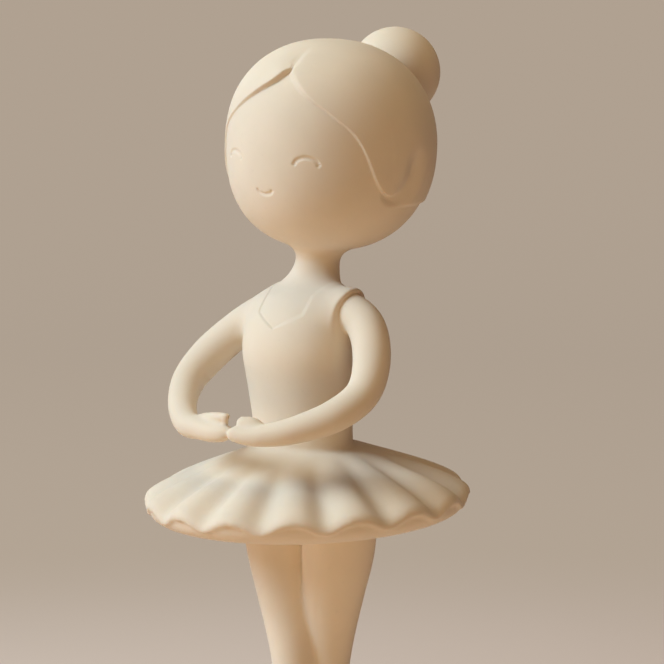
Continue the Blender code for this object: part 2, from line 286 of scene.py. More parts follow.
def head_angles(points):
    """Azimuth and latitude of points seen from the head's centre, and how far out they are."""
    d = points - HEAD_CENTRE
    x = d[:, 0] * cos(HEAD_LEAN) - d[:, 2] * sin(HEAD_LEAN)
    z = d[:, 0] * sin(HEAD_LEAN) + d[:, 2] * cos(HEAD_LEAN)
    out = np.linalg.norm(d, axis=1)
    return np.arctan2(x, -d[:, 1]), np.arcsin(np.clip(z / out, -1, 1)), out


def from_parting(azimuth, latitude):
    """Degrees round from the parting, negative on the far side, and degrees up."""
    return (np.degrees(azimuth) - PARTING_AZIMUTH + 180) % 360 - 180, np.degrees(latitude)


def head_point(azimuth, latitude, radius):
    """The point at an azimuth and latitude in degrees, in the figure's own shares."""
    a, b = radians(azimuth), radians(latitude)
    x, y, z = cos(b) * sin(a), -cos(b) * cos(a), sin(b)
    lean = np.array((x * cos(HEAD_LEAN) + z * sin(HEAD_LEAN), y,
                     z * cos(HEAD_LEAN) - x * sin(HEAD_LEAN)))
    return HEAD_CENTRE + lean * radius


def bare_head_radius(azimuth, latitude):
    """A ball, a little squarer towards the cheeks than towards the crown."""
    front = 0.5 + 0.5 * np.cos(azimuth)
    power = HEAD_POWER + front * np.where(latitude > 0, CROWN_POWER, CHEEK_POWER)
    return HEAD_RADIUS / (np.abs(np.cos(latitude)) ** power
                          + np.abs(np.sin(latitude)) ** power) ** (1 / power)


def skin_point(azimuth, latitude):
    """The point of the bare head at an azimuth and latitude in degrees."""
    radius = bare_head_radius(np.radians(azimuth), np.radians(latitude))
    return head_point(azimuth, latitude, radius)


class Lock:
    """One swept lock of hair: its edge on the head, and how far the edge stands off it.

    It is thick by the parting and thin down the temple. Its edge is crisp, and it may roll
    over by the parting.
    """

    def __init__(self, stations, turn, thin, thick, crisp, roll):
        curve = through(stations, 8)
        # Past the last station the border runs on behind the head, where it shows nowhere
        self.side = np.append(np.maximum.accumulate(curve[:, 0]), 180)
        self.latitude = np.append(curve[:, 1], 45)
        self.edge = np.array([head_point(PARTING_AZIMUTH + turn * side, up, 1)
                              for side, up in curve]) - HEAD_CENTRE
        length = np.linalg.norm(np.diff(self.edge, axis=0), axis=1)
        self.along = np.concatenate(([0], np.cumsum(length))) / length.sum()
        self.thin, self.thick = thin, thick
        self.crisp, self.roll = crisp, roll

    def edge_distance(self, points, side, up):
        """How far points lie inside the lock's edge, in shares, and where along it."""
        d = points - HEAD_CENTRE
        d = d / np.linalg.norm(d, axis=1)[:, None]
        bead = np.argmax(d @ self.edge.T, axis=1)
        best = np.full(len(d), FAR)
        along = np.zeros(len(d))
        for link in (np.maximum(bead - 1, 0), np.minimum(bead, len(self.edge) - 2)):
            start, span = self.edge[link], self.edge[link + 1] - self.edge[link]
            share = np.clip(((d - start) * span).sum(1) / (span ** 2).sum(1), 0, 1)
            gap = np.linalg.norm(d - start - share[:, None] * span, axis=1) * HEAD_RADIUS
            place = self.along[link] + share * (self.along[link + 1] - self.along[link])
            along = np.where(gap < best, place, along)
            best = np.minimum(best, gap)
        inside = up > np.interp(side, self.side, self.latitude)
        return np.where(inside, best, -best), along

    def lip(self, along):
        """The lock's thickness along its edge."""
        thickness = self.thin + (self.thick - self.thin) * (1 - smooth(*PARTING_SPAN, along))
        return thickness + (TIP_THICKNESS - self.thin) * smooth(*TIP_SPAN, along)

    def edge_width(self, along):
        """Half the width over which the lock's edge falls to the skin."""
        width = self.crisp + self.roll * (1 - smooth(*ROLL_SPAN, along))
        return width + HOLLOW_SOFTNESS * smooth(*HOLLOW_SPAN, along)


class FigureForm:
    """The whole figure as one smooth solid: distance() is negative inside and zero on the skin."""

    def __init__(self, sizes):
        self.hair = sizes.hair_thickness / SHARE
        self.flute = sizes.flute_height / SHARE
        self.groove = sizes.groove_width / SHARE
        self.leotard = sizes.leotard_thickness / SHARE
        self.locks = [Lock(RIGHT_LOCK, 1, thin=0.55, thick=0.95, crisp=0.26, roll=0.7),
                      Lock(LEFT_LOCK, -1, thin=0.5, thick=1.5, crisp=0.22, roll=0)]
        self.torso = through(TORSO, 12)
        self.bun = head_point(180, BUN_LATITUDE, BUN_DISTANCE)
        self.left_arm, self.right_arm = Limb(LEFT_ARM), Limb(RIGHT_ARM)
        self.left_thumb, self.right_thumb = Limb(LEFT_THUMB), Limb(RIGHT_THUMB)
        self.left_leg, self.right_leg = Limb(LEFT_LEG), Limb(RIGHT_LEG)
        self.shoulder = Limb(SHOULDER)
        self.slippers = [Limb(slipper_stations(RIGHT_LEG, -TURNOUT)),
                         Limb(slipper_stations(LEFT_LEG, TURNOUT))]
        self.prepare_skirt()
        self.lines = []
        for middle, ends, half_width, rise, depth in EYES + SMILE:
            t = np.linspace(-1, 1, LINE_POINTS)
            bow = [skin_point(middle + half_width * u, ends + rise * (1 - u * u) ** LINE_BOW)
                   for u in t]
            self.lines.append((np.array(bow), depth))

    def nape_edge_distance(self, side, latitude):
        """Positive on the hair of the nape, whose front lower corner is rounded."""
        below = np.radians(latitude - NAPE_LATITUDE) * HEAD_RADIUS
        front = np.radians(side - NAPE_START) * HEAD_RADIUS * np.cos(np.radians(latitude))
        return melt(below, front, NAPE_CORNER)

    def face_line_distance(self, points):
        """Distance to the nearest eye or mouth line, and that line's depth."""
        near = np.full(len(points), FAR)
        depth = np.zeros(len(points))
        for line, line_depth in self.lines:
            gap = np.linalg.norm(points - line[LINE_POINTS // 2], axis=1)
            close = np.where(gap < LINE_REACH)[0]
            if not len(close):
                continue
            reach = np.min(np.linalg.norm(points[close, None] - line[None], axis=2), axis=1)
            better = reach < near[close]
            near[close[better]] = reach[better]
            depth[close[better]] = line_depth
        return near, depth

    def head_distance(self, points):
        return inside_box(points, *HEAD_BOX, self.near_head_distance)

    def near_head_distance(self, points):
        azimuth, latitude, out = head_angles(points)
        turn, up = from_parting(azimuth, latitude)
        side, right = np.abs(turn), turn >= 0
        above, along, lip, width = np.empty((4, len(points)))
        for lock, mine in zip(self.locks, (right, ~right)):
            above[mine], along[mine] = lock.edge_distance(points[mine], side[mine], up[mine])
            lip[mine], width[mine] = lock.lip(along[mine]), lock.edge_width(along[mine])
        hair = self.hair + (lip - self.hair) * np.exp(-(above / LIP_FALL) ** 2)
        # The hair of the nape is sunk close behind the lock's edge, and full further back
        refill = smooth(RECESS_START, RECESS_WIDTH, -above)
        under = self.hair * ((1 + RECESS_DEPTH) * refill - RECESS_DEPTH)
        under += (hair - under) * smooth(*BEHIND_SPAN, along)
        on_lock = smooth(-width, width, above)
        on_nape = smooth(*NAPE_EDGE, self.nape_edge_distance(side, up))
        radius = bare_head_radius(azimuth, latitude)
        radius += on_lock * hair + (1 - on_lock) * on_nape * under
        # The parting: a soft crease that runs back from the corner and fades over the crown
        across = np.radians(turn) * np.cos(latitude) * HEAD_RADIUS
        fade = smooth(*CREASE_IN, up) * (1 - smooth(*CREASE_OUT, up)) * (side < CREASE_TURN)
        far_width, near_width = CREASE_WIDTHS
        radius -= CREASE_DEPTH * fade * np.exp(
            -(across / np.where(across < 0, far_width, near_width)) ** 2)
        # The head's ball is not quite round, so the distance is scaled to stay a little short
        distance = (out - radius) * 0.97
        line, depth = self.face_line_distance(points)
        return distance + depth * np.exp(-(line / (0.5 * self.groove)) ** 2)

    def neckline_distance(self, points):
        """Negative on the bare skin above the leotard, in the figure's own shares."""
        x, z = np.abs(points[:, 0]), points[:, 2]
        strap = x - np.interp(z, [s[0] for s in STRAP_EDGE], [s[1] for s in STRAP_EDGE])
        corner_x, corner_z = NECKLINE_CORNER
        edge = NECKLINE_DIP + (corner_z - NECKLINE_DIP) * x / corner_x
        slant = 0.88  # across the slanting edge, per share of height
        return trim(strap, (edge - z) * slant, FILLETS["neckline"])

    def torso_distance(self, points):
        return inside_box(points, *TORSO_BOX, self.near_torso_distance)

    def near_torso_distance(self, points):
        offset, width, depth = (np.interp(points[:, 2], self.torso[:, 0], self.torso[:, i])
                                for i in (1, 2, 3))
        x, y = points[:, 0], points[:, 1] - offset
        ring = np.hypot(x / width, y / depth)
        steep = np.hypot(x / width ** 2, y / depth ** 2) + 1e-6
        distance = ring * (ring - 1) / steep
        soft = STEP_WIDTH + STEP_SOFTENING * smooth(0.5, 4, points[:, 0])
        distance -= self.leotard * smooth(-soft, soft, self.neckline_distance(points))
        distance = np.maximum(distance, points[:, 2] - self.torso[-1, 0])
        return np.maximum(distance, self.torso[0, 0] - points[:, 2])

    def armhole_distance(self, points):
        return inside_box(points, *SHOULDER_BOX, self.near_armhole_distance)

    def near_armhole_distance(self, points):
        """The near shoulder, cut off square by the armhole's plane."""
        axis = ARMHOLE_AXIS / np.linalg.norm(ARMHOLE_AXIS)
        return trim(self.shoulder.near_distance(points), (points - ARMHOLE_CENTRE) @ axis,
                    FILLETS["armhole"])

    def skirt_distance(self, points):
        return inside_box(points, *SKIRT_BOX, self.near_skirt_distance)

    def near_skirt_distance(self, points):
        """Two layers: the fluted skirt, and the smooth bowl that shows under its wavy edge."""
        y = points[:, 1] - SKIRT_CENTRE_Y
        z = points[:, 2] - SKIRT_PIVOT_Z - points[:, 0] * tan(SKIRT_ROLL)
        y, z = (y * cos(SKIRT_PITCH) + z * sin(SKIRT_PITCH),
                z * cos(SKIRT_PITCH) - y * sin(SKIRT_PITCH) + SKIRT_PIVOT_Z)
        out = np.hypot(points[:, 0], y)
        angle = np.arctan2(points[:, 0], -y)
        swing = -np.cos(FLUTES * angle) - FLUTE_HARMONIC * np.cos(2 * FLUTES * angle)
        wave = self.flute * smooth(FLUTE_START, SKIRT_RIM, out) * swing
        top = np.interp(out, self.skirt_out, self.skirt_top)
        under = np.interp(out, self.under_out, self.skirt_under)
        lean = np.sqrt(1 + np.interp(out, self.skirt_out, self.skirt_slope) ** 2)
        above = z - top - wave
        fluted = trim(above / lean, out - SKIRT_RIM - RIM_WAVE * wave, FILLETS["skirt_rim"])
        fluted = trim(fluted, -(above + SKIRT_LAYER) / lean, FILLETS["skirt_layer"])
        bowl = trim((above + UNDERSKIRT_GAP) / lean, out - UNDERSKIRT_RIM, FILLETS["bowl_rim"])
        bowl_lean = 0.85  # across the bowl's sloping wall, per share of height
        bowl = trim(bowl, (under - z) * bowl_lean, FILLETS["bowl"])
        return melt(fluted, bowl, FILLETS["layers"])

    def prepare_skirt(self):
        top = through(SKIRT_TOP, 12)
        under = through(SKIRT_UNDER, 12)
        self.skirt_out, self.skirt_top = top[:, 0], top[:, 1]
        self.skirt_slope = np.gradient(top[:, 1], top[:, 0])
        self.under_out, self.skirt_under = under[:, 0], under[:, 1]

    def distance(self, points):
        def add(body, form, fillet):
            return melt(body, form.distance(points), FILLETS[fillet])

        body = melt(self.torso_distance(points), self.head_distance(points), FILLETS["neck"])
        bun = np.linalg.norm(points - self.bun, axis=1) - BUN_RADIUS
        body = melt(body, bun, FILLETS["bun"])
        body = melt(body, self.armhole_distance(points), FILLETS["near_shoulder"])
        body = add(add(body, self.right_arm, "far_arm"), self.right_thumb, "far_thumb")
        left_arm = add(self.left_arm.distance(points), self.left_thumb, "near_thumb")
        body = melt(body, left_arm, FILLETS["near_arm"])
        legs = add(self.right_leg.distance(points), self.left_leg, "thighs")
        for slipper in self.slippers:
            legs = add(legs, slipper, "slipper")
        legs = melt(legs, self.skirt_distance(points), FILLETS["hips"])
        return trim(melt(body, legs, FILLETS["waist"]), -points[:, 2], FILLETS["sole"])

    def detail_distance(self, points):
        """How near points are to a fine edge that wants a denser mesh, and to a face line."""
        azimuth, latitude, out = head_angles(points)
        turn, up = from_parting(azimuth, latitude)
        side = np.abs(turn)
        on_head = (out > HEAD_RADIUS + HEAD_SHELL[0]) & (out < HEAD_RADIUS + HEAD_SHELL[1])
        hair = np.minimum(*(np.abs(lock.edge_distance(points, side, up)[0]) for lock in self.locks))
        nape = np.abs(self.nape_edge_distance(side, up))
        edge = np.where(on_head, np.minimum(hair, nape), FAR)
        chest = (points[:, 2] > CHEST_LOW) & (points[:, 2] < CHEST_HIGH)
        chest &= np.abs(points[:, 0]) < CHEST_HALF
        edge = np.minimum(edge, np.where(chest, np.abs(self.neckline_distance(points)), FAR))
        by_armhole = np.linalg.norm(points - ARMHOLE_CENTRE, axis=1) <= ARMHOLE_REACH
        rim = np.where(by_armhole, np.abs((points - ARMHOLE_CENTRE) @ ARMHOLE_AXIS), FAR)
        edge = np.minimum(edge, rim)
        line = np.where(on_head, self.face_line_distance(points)[0], FAR)
        return np.minimum(edge, line), line

    def slope(self, points, value, step=0.02):
        """The direction in which the distance grows, and how steeply."""
        slope = np.empty_like(points)
        for axis in range(3):
            shifted = points.copy()
            shifted[:, axis] += step
            slope[:, axis] = (self.distance(shifted) - value) / step
        return slope

    def onto_skin(self, points, turns):
        """Moves points along the solid's gradient until they lie on its skin."""
        for _ in range(turns):
            value = self.distance(points)
            points = points + towards_skin(value, self.slope(points, value))
        return points


def towards_skin(value, slope, reach=0.6):
    """The step back onto the skin, never longer than the reach."""
    steep = np.maximum((slope ** 2).sum(1), LEAST_STEEP)
    move = -slope * (value / steep)[:, None]
    length = np.maximum(np.linalg.norm(move, axis=1), 1e-9)
    return move * np.minimum(1, reach / length)[:, None]


def slipper_stations(leg, turn):
    """A slipper's middle line under the given leg, its toe turned out to the side."""
    x, y = leg[-1][:2]
    dx, dy = sin(radians(turn)), -cos(radians(turn))
    return [(x + dx * d, y + dy * d, height, radius) for d, height, radius in SLIPPER]


def spun(outline, merge):
    """A bmesh made by turning an outline of radii and heights round the Z axis."""
    bm = bmesh.new()
    verts = [bm.verts.new((r, 0, z)) for r, z in outline]
    edges = [bm.edges.new(pair) for pair in zip(verts, verts[1:])]
    bmesh.ops.spin(bm, geom=verts + edges, cent=(0, 0, 0), axis=(0, 0, 1), angle=2 * pi,
                   steps=SPIN_STEPS, use_merge=True)
    bmesh.ops.remove_doubles(bm, verts=bm.verts, dist=merge)
    bmesh.ops.recalc_face_normals(bm, faces=bm.faces)
    return bm


def gather(bm, forms):
    """Adds one form's bmesh to the bmesh that holds them all, and frees it."""
    mesh = bpy.data.meshes.new("rough_form")
    bm.to_mesh(mesh)
    bm.free()
    forms.from_mesh(mesh)
    bpy.data.meshes.remove(mesh)


def add_balls(forms, balls):
    """A form roughed out as overlapping balls, each with its centre and three radii."""
    bm = bmesh.new()
    for centre, radii in balls:
        place = Matrix.Translation(centre) @ Matrix.Diagonal((*radii, 1))
        bmesh.ops.create_icosphere(bm, subdivisions=3, radius=1, matrix=place)
    gather(bm, forms)


def add_rough_skirt(forms, flute):
    """The skirt's outline spun round the waist, and waved."""
    outline = [(r, z) for r, z in through(SKIRT_TOP, 3) if r < SKIRT_RIM]
    outline += [(r, z) for r, z in reversed(through(SKIRT_UNDER, 3).tolist()) if r < SKIRT_RIM]
    bm = spun(outline, 0.001)
    for vert in bm.verts:
        swing = -cos(FLUTES * atan2(vert.co.x, -vert.co.y))
        wave = flute * smooth(FLUTE_START, SKIRT_RIM, vert.co.xy.length) * swing
        vert.co.z += wave * smooth(80, 86, vert.co.z)  # the underside stays plain
    for turn, axis in ((SKIRT_PITCH, "X"), (-SKIRT_ROLL, "Y")):
        bmesh.ops.rotate(bm, cent=(0, 0, SKIRT_PIVOT_Z), matrix=Matrix.Rotation(turn, 3, axis),
                         verts=bm.verts)
    bmesh.ops.translate(bm, vec=(0, SKIRT_CENTRE_Y, 0), verts=bm.verts)
    gather(bm, forms)


def rough_figure(flute):
    """The figure's forms as overlapping closed shapes, in shares of its height."""
    forms = bmesh.new()
    hair = 0.6
    add_balls(forms, [(HEAD_CENTRE, (HEAD_RADIUS + hair,) * 3)])
    add_balls(forms, [(head_point(180, BUN_LATITUDE, BUN_DISTANCE), (BUN_RADIUS,) * 3)])
    add_balls(forms, [((0, offset, height), (width, depth, 3))
                      for height, offset, width, depth in through(TORSO, 3)])
    for stations in (LEFT_ARM, RIGHT_ARM, LEFT_THUMB, RIGHT_THUMB, LEFT_LEG, RIGHT_LEG,
                     SHOULDER[:3], slipper_stations(RIGHT_LEG, -TURNOUT),
                     slipper_stations(LEFT_LEG, TURNOUT)):
        add_balls(forms, [((x, y, height), (max(radius, 0.9),) * 3)
                          for x, y, height, radius in through(stations, 4)])
    add_rough_skirt(forms, flute)
    mesh = bpy.data.meshes.new("rough_forms")
    forms.to_mesh(mesh)
    forms.free()
    return mesh


def fused(mesh, voxel):
    """One closed skin round every overlapping form, by a voxel remesh."""
    rough = bpy.data.objects.new("rough_forms", mesh)
    bpy.context.scene.collection.objects.link(rough)
    remesh = rough.modifiers.new("Remesh", "REMESH")
    remesh.mode = "VOXEL"
    remesh.voxel_size = voxel
    evaluated = rough.evaluated_get(bpy.context.evaluated_depsgraph_get())
    skin = bpy.data.meshes.new_from_object(evaluated)
    bpy.data.objects.remove(rough)
    bpy.data.meshes.remove(mesh)
    return skin


def read_points(mesh):
    points = np.empty(len(mesh.vertices) * 3)
    mesh.vertices.foreach_get("co", points)
    return points.reshape(-1, 3)


def write_points(mesh, points):
    mesh.vertices.foreach_set("co", points.astype(np.float32).ravel())
    mesh.update()


def relax(mesh, points, moving, form, rounds):
    """Evens the mesh out along the skin, keeping it on the skin."""
    edges = np.empty(len(mesh.edges) * 2, int)
    mesh.edges.foreach_get("vertices", edges)
    a, b = edges.reshape(-1, 2).T
    count = np.bincount(a, minlength=len(points)) + np.bincount(b, minlength=len(points))
    slope = form.slope(points[moving], form.distance(points[moving]))
    steep = np.maximum((slope ** 2).sum(1), LEAST_STEEP)[:, None]
    for _ in range(rounds):
        mean = np.stack([np.bincount(a, points[b, i], len(points))
                         + np.bincount(b, points[a, i], len(points)) for i in range(3)], 1)
        slide = 0.5 * (mean / count[:, None] - points)[moving]
        slide -= slope * ((slide * slope).sum(1)[:, None] / steep)
        place = points[moving] + slide
        points[moving] = place + towards_skin(form.distance(place), slope)
    return points


def refine(mesh, points, form, band, face_band):
    """Splits the edges that lie within the band of a fine edge or a line of the face."""
    bm = bmesh.new()
    bm.from_mesh(mesh)
    bmesh.ops.triangulate(bm, faces=bm.faces)
    bm.edges.ensure_lookup_table()
    near, line = form.detail_distance(points)
    dense = (near < band) | (line < face_band)
    chosen = [edge for edge in bm.edges if dense[edge.verts[0].index] or dense[edge.verts[1].index]]
    bmesh.ops.subdivide_edges(bm, edges=chosen, cuts=1, use_grid_fill=True)
    bmesh.ops.triangulate(bm, faces=bm.faces)
    bm.to_mesh(mesh)
    bm.free()


def carved_figure(sizes):
    """The fused skin, drawn onto the figure's form and refined where the carving is fine."""
    form = FigureForm(sizes)
    mesh = fused(rough_figure(form.flute), sizes.skin_grid / SHARE)
    points = form.onto_skin(read_points(mesh), turns=5)
    points = relax(mesh, points, np.arange(len(points)), form, 6)
    points = form.onto_skin(points, turns=1)
    write_points(mesh, points)
    for band, face_band in BANDS:
        refine(mesh, points, form, band, face_band)
        points = read_points(mesh)
        near, line = form.detail_distance(points)
        moving = np.where((near < band + 0.5) | (line < face_band + 0.5))[0]
        points[moving] = form.onto_skin(points[moving], turns=1)
        points = relax(mesh, points, moving, form, 4)
        points[moving] = form.onto_skin(points[moving], turns=2)
        write_points(mesh, points)
    write_points(mesh, points * SHARE + np.array((0, 0, SOLE_Z)))
    mesh.shade_smooth()
    return mesh


class Wire:
    """A shader socket whose arithmetic, on either side of a number, adds Math nodes."""

    def __init__(self, nodes, socket):
        self.nodes = nodes
        self.socket = socket

    def maths(self, operation, first, second):
        return self.nodes.add("ShaderNodeMath", {"operation": operation}, {0: first, 1: second})

    def __add__(self, other):
        return self.maths("ADD", self, other)

    def __sub__(self, other):
        return self.maths("SUBTRACT", self, other)

    def __rsub__(self, other):
        return self.maths("SUBTRACT", other, self)

    def __mul__(self, other):
        return self.maths("MULTIPLY", self, other)

    __radd__ = __add__
    __rmul__ = __mul__


class Nodes:
    """Adds nodes to one material's tree."""

    def __init__(self, material):
        material.use_nodes = True
        self.tree = material.node_tree
        self.shader = self.tree.nodes["Principled BSDF"]

    def add(self, kind, settings=None, inputs=None, output=0):
        """A node of this kind: its settings come first, then its sockets' values or links."""
        node = self.tree.nodes.new(kind)
        for name, value in (settings or {}).items():
            setattr(node, name, value)
        for name, value in (inputs or {}).items():
            self.feed(node.inputs[name], value)
        return Wire(self, node.outputs[output])

    def feed(self, socket, value):
        if isinstance(value, Wire):
            self.tree.links.new(value.socket, socket)
        else:
            socket.default_value = value

    def ramp(self, factor, low, high):
        return self.add("ShaderNodeMapRange", {"interpolation_type": "SMOOTHSTEP"},
                        {"Value": factor, "From Min": low, "From Max": high})

    def noise(self, place, scale, detail, roughness):
        return self.add("ShaderNodeTexNoise", None, {"Vector": place, "Scale": scale,
                                                     "Detail": detail, "Roughness": roughness})

    def blend(self, factor, first, second):
        return self.add("ShaderNodeMix", {"data_type": "RGBA"},
                        {"Factor": factor, "A": first, "B": second}, "Result")


def shade(colour, factor):
    return (colour[0] * factor, colour[1] * factor, colour[2] * factor, 1.0)


def clay(name, colour, finish):
    """Matte cast clay: faint clouding, a dry fine grain and a slightly uneven surface."""
    material = bpy.data.materials.new(name)
    nodes = Nodes(material)
    place = nodes.add("ShaderNodeTexCoord", output="Object")
    clouds = nodes.noise(place, scale=38.0, detail=4.0, roughness=0.55)
    specks = nodes.noise(place, scale=900.0, detail=2.0, roughness=0.6)
    grain = nodes.noise(place, scale=2600.0, detail=2.0, roughness=0.5)
    swell = nodes.noise(place, scale=130.0, detail=2.0, roughness=0.4)
    darker, lighter, speck = shade(colour, 0.965), shade(colour, 1.03), shade(colour, 0.9)
    mottled = nodes.blend(nodes.ramp(clouds, 0.35, 0.68), darker, lighter)
    speckled = nodes.blend(nodes.ramp(specks, 0.62, 0.8) * 0.35, mottled, speck)
    nodes.feed(nodes.shader.inputs["Base Color"], speckled)
    nodes.feed(nodes.shader.inputs["Roughness"], finish.roughness + (clouds - 0.5) * 0.12)
    height = grain * 0.35 + swell + specks * 0.4
    bump = nodes.add("ShaderNodeBump", None, {"Strength": finish.grain, "Distance": 0.00012,
                                              "Height": height})
    nodes.feed(nodes.shader.inputs["Normal"], bump)
    nodes.shader.inputs["Subsurface Weight"].default_value = finish.translucency
    nodes.shader.inputs["Subsurface Radius"].default_value = (1.0, 0.55, 0.3)
    nodes.shader.inputs["Subsurface Scale"].default_value = 0.0015
    nodes.shader.inputs["Specular IOR Level"].default_value = 0.3
    return material


def finished_object(name, mesh, material):
    mesh.materials.clear()
    mesh.materials.append(material)
    piece = bpy.data.objects.new(name, mesh)
    bpy.context.scene.collection.objects.link(piece)
    return piece


class FigurineSizes(bpy.types.PropertyGroup):
    """Sizes of the carving."""
    hair_thickness: FloatProperty(
        name="Hair thickness", description="How far the smooth hair stands off the head",
        default=0.00072, unit="LENGTH")
    flute_height: FloatProperty(
        name="Flute height", description="Half the wave height at the skirt's rim",
        default=0.0014, unit="LENGTH")
    groove_width: FloatProperty(
        name="Groove width", description="Width of the closed eyes and the smile",
        default=0.0008, unit="LENGTH")
    leotard_thickness: FloatProperty(
        name="Leotard thickness", description="Step of the neckline and straps",
        default=0.00035, unit="LENGTH")
    skin_grid: FloatProperty(
        name="Skin grid", description="Spacing of the fused skin before the carving is refined",
        default=0.0009, unit="LENGTH")
    base_edge: FloatProperty(
        name="Base edge", description="Rounding of the base's upper edge",
        default=0.0018, unit="LENGTH")


class FigurineFinish(bpy.types.PropertyGroup):
    """Colour and surface of the cast clay."""
    figure_colour: FloatVectorProperty(
        name="Figure colour", description="Warm cream of the figure", subtype="COLOR", size=3,
        min=0, max=1, default=(0.80, 0.72, 0.62))
    base_colour: FloatVectorProperty(
        name="Base colour", description="Slightly deeper cream of the base", subtype="COLOR",
        size=3, min=0, max=1, default=(0.76, 0.68, 0.58))
    roughness: FloatProperty(
        name="Roughness", description="How matte the clay is", subtype="FACTOR", min=0, max=1,
        default=0.72)
    grain: FloatProperty(
        name="Grain", description="Strength of the fine surface grain", subtype="FACTOR", min=0,
        max=1, default=0.35)
    translucency: FloatProperty(
        name="Translucency", description="Share of light that passes under the surface",
        subtype="FACTOR", min=0, max=1, default=0.12)


class FigurineStudio(bpy.types.PropertyGroup):
    """The studio: where the camera stands, and the tones of backdrop and light."""
    view_azimuth: FloatProperty(
        name="View azimuth", description="Turn of the camera round the figure", subtype="ANGLE",
        default=radians(38))
    view_elevation: FloatProperty(
        name="View elevation", description="Height angle of the camera", subtype="ANGLE",
        default=radians(6))
    view_distance: FloatProperty(
        name="View distance", description="From the camera to the figure", unit="LENGTH",
        default=0.65)
    focal_length: FloatProperty(
        name="Focal length", description="Lens in millimetres on a 36 mm sensor", default=140.96)
    floor_colour: FloatVectorProperty(
        name="Floor colour", description="Pale paper round the figure", subtype="COLOR", size=3,
        min=0, max=1, default=(0.72, 0.625, 0.58))
    backdrop_colour: FloatVectorProperty(
        name="Backdrop colour", description="Taupe of the paper further out", subtype="COLOR",
        size=3, min=0, max=1, default=(0.44, 0.366, 0.295))
    key_colour: FloatVectorProperty(
        name="Key colour", description="Tint of the main light", subtype="COLOR", size=3, min=0,
        max=1, default=(0.76, 0.93, 1.0))
    top_colour: FloatVectorProperty(
        name="Top colour", description="Tint of the light from above", subtype="COLOR", size=3,
        min=0, max=1, default=(1.0, 0.78, 0.45))
    bounce_colour: FloatVectorProperty(
        name="Bounce colour", description="Tint of the light from below", subtype="COLOR",
        size=3, min=0, max=1, default=(1.0, 0.76, 0.56))
    front_colour: FloatVectorProperty(
        name="Front colour", description="Tint of the light from the front", subtype="COLOR",
        size=3, min=0, max=1, default=(1.0, 0.66, 0.30))
    sky_colour: FloatVectorProperty(
        name="Sky colour", description="Tint of the even light", subtype="COLOR", size=3, min=0,
        max=1, default=(1.0, 0.52, 0.27))
    key_power: FloatProperty(name="Key power", description="Main light", default=29.2, unit="POWER")
    bounce_power: FloatProperty(
        name="Bounce power", description="Warm light from below", default=1.15, unit="POWER")
    top_power: FloatProperty(
        name="Top power", description="Soft light from above", default=2.1, unit="POWER")
    left_power: FloatProperty(
        name="Left power", description="Warm light from low on the left", default=8.9,
        unit="POWER")
    front_power: FloatProperty(
        name="Front power", description="Faint warm light from low in front", default=7.9,
        unit="POWER")
    sky: FloatProperty(name="Sky", description="Strength of the even light", default=0.12)


class FIGURINE_OT_add_figure(bpy.types.Operator):
    """Add the carved ballerina, from her bun to her slippers"""
    bl_idname = "figurine.add_figure"
    bl_label = "Add Ballerina"

    def execute(self, context):
        finish = context.scene.figurine_finish
        mesh = carved_figure(context.scene.figurine_sizes)
        figure = finished_object("carved_ballerina", mesh,
                                 clay("figure_clay_fine", finish.figure_colour, finish))
        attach(figure, "root")
        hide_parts("ballerina")
        return {"FINISHED"}


class FIGURINE_OT_add_base(bpy.types.Operator):
    """Add the low round base, its upper edge rounded and its foot eased"""
    bl_idname = "figurine.add_base"
    bl_label = "Add Base"

    def execute(self, context):
        finish = context.scene.figurine_finish
        edge = context.scene.figurine_sizes.base_edge
        radius = (BASE_HIGH[0] - BASE_LOW[0]) / 2
        height = BASE_HIGH[2] - BASE_LOW[2]
        bm = bmesh.new()
        bmesh.ops.create_cone(bm, cap_ends=True, segments=160, radius1=radius, radius2=radius,
                              depth=height, matrix=Matrix.Translation((0, 0, height / 2)))
        rims = [e for e in bm.edges if abs(e.verts[0].co.z - e.verts[1].co.z) < height / 2]
        top = [e for e in rims if e.verts[0].co.z > height / 2]
        bottom = [e for e in rims if e.verts[0].co.z < height / 2]
        for rim, offset, segments in ((top, edge, 8), (bottom, edge / 4, 3)):
            bmesh.ops.bevel(bm, geom=rim, offset=offset, segments=segments, profile=0.5,
                            affect="EDGES", material=-1)
        mesh = bpy.data.meshes.new("round_base")
        bm.to_mesh(mesh)
        bm.free()
        mesh.shade_smooth()
        mesh.set_sharp_from_angle(angle=radians(40))
        base = finished_object("round_base", mesh,
                               clay("base_clay_fine", finish.base_colour, finish))
        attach(base, "root")
        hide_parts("base")
        return {"FINISHED"}


def stand(name, data, aim, azimuth, elevation, distance):
    """A camera or lamp that looks at its aim from the given angles and distance."""
    away = Vector((sin(azimuth) * cos(elevation), -cos(azimuth) * cos(elevation), sin(elevation)))
    stood = bpy.data.objects.new(name, data)
    stood.location = aim + away * distance
    stood.rotation_euler = away.to_track_quat("Z", "Y").to_euler()
    bpy.context.scene.collection.objects.link(stood)
    return stood


